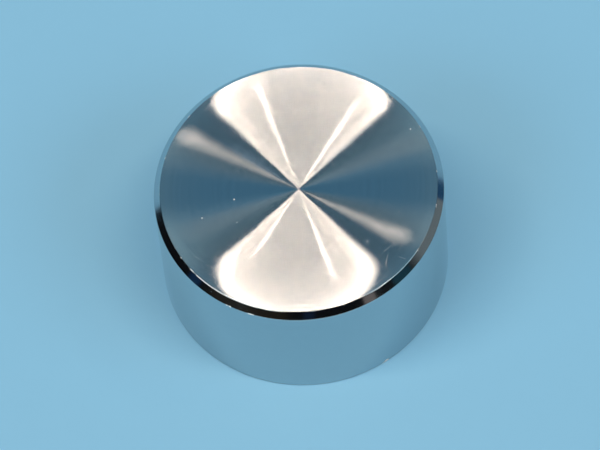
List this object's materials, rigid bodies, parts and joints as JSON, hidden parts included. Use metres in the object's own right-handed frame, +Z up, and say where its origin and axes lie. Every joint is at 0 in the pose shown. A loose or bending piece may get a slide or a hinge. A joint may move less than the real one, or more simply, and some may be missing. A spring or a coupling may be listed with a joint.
{
  "type": "control knob",
  "caption": "Round push-on control knob: bright turned metal shell with a spun, slightly hollow face and a bevelled rim, over a ribbed moulded hub.",
  "frame": {"origin": "centre of the knob's base, on the surface it stands on", "axes": "+Z up along the knob's turning axis, out of the spun face; the two slits of the boss lie along X"},
  "size_m": [0.04, 0.04, 0.0208],
  "materials": {
    "shell": "mirror-polished side and bevel, finely turned face, clear",
    "hub_insert": "fine spark-eroded mould texture",
    "spring_ring": "bright rolled spring steel"
  },
  "bodies": {
    "root": {"shell": "shell", "hub_insert": "hub_insert", "spring_ring": "spring_ring"}
  },
  "joints": []
}
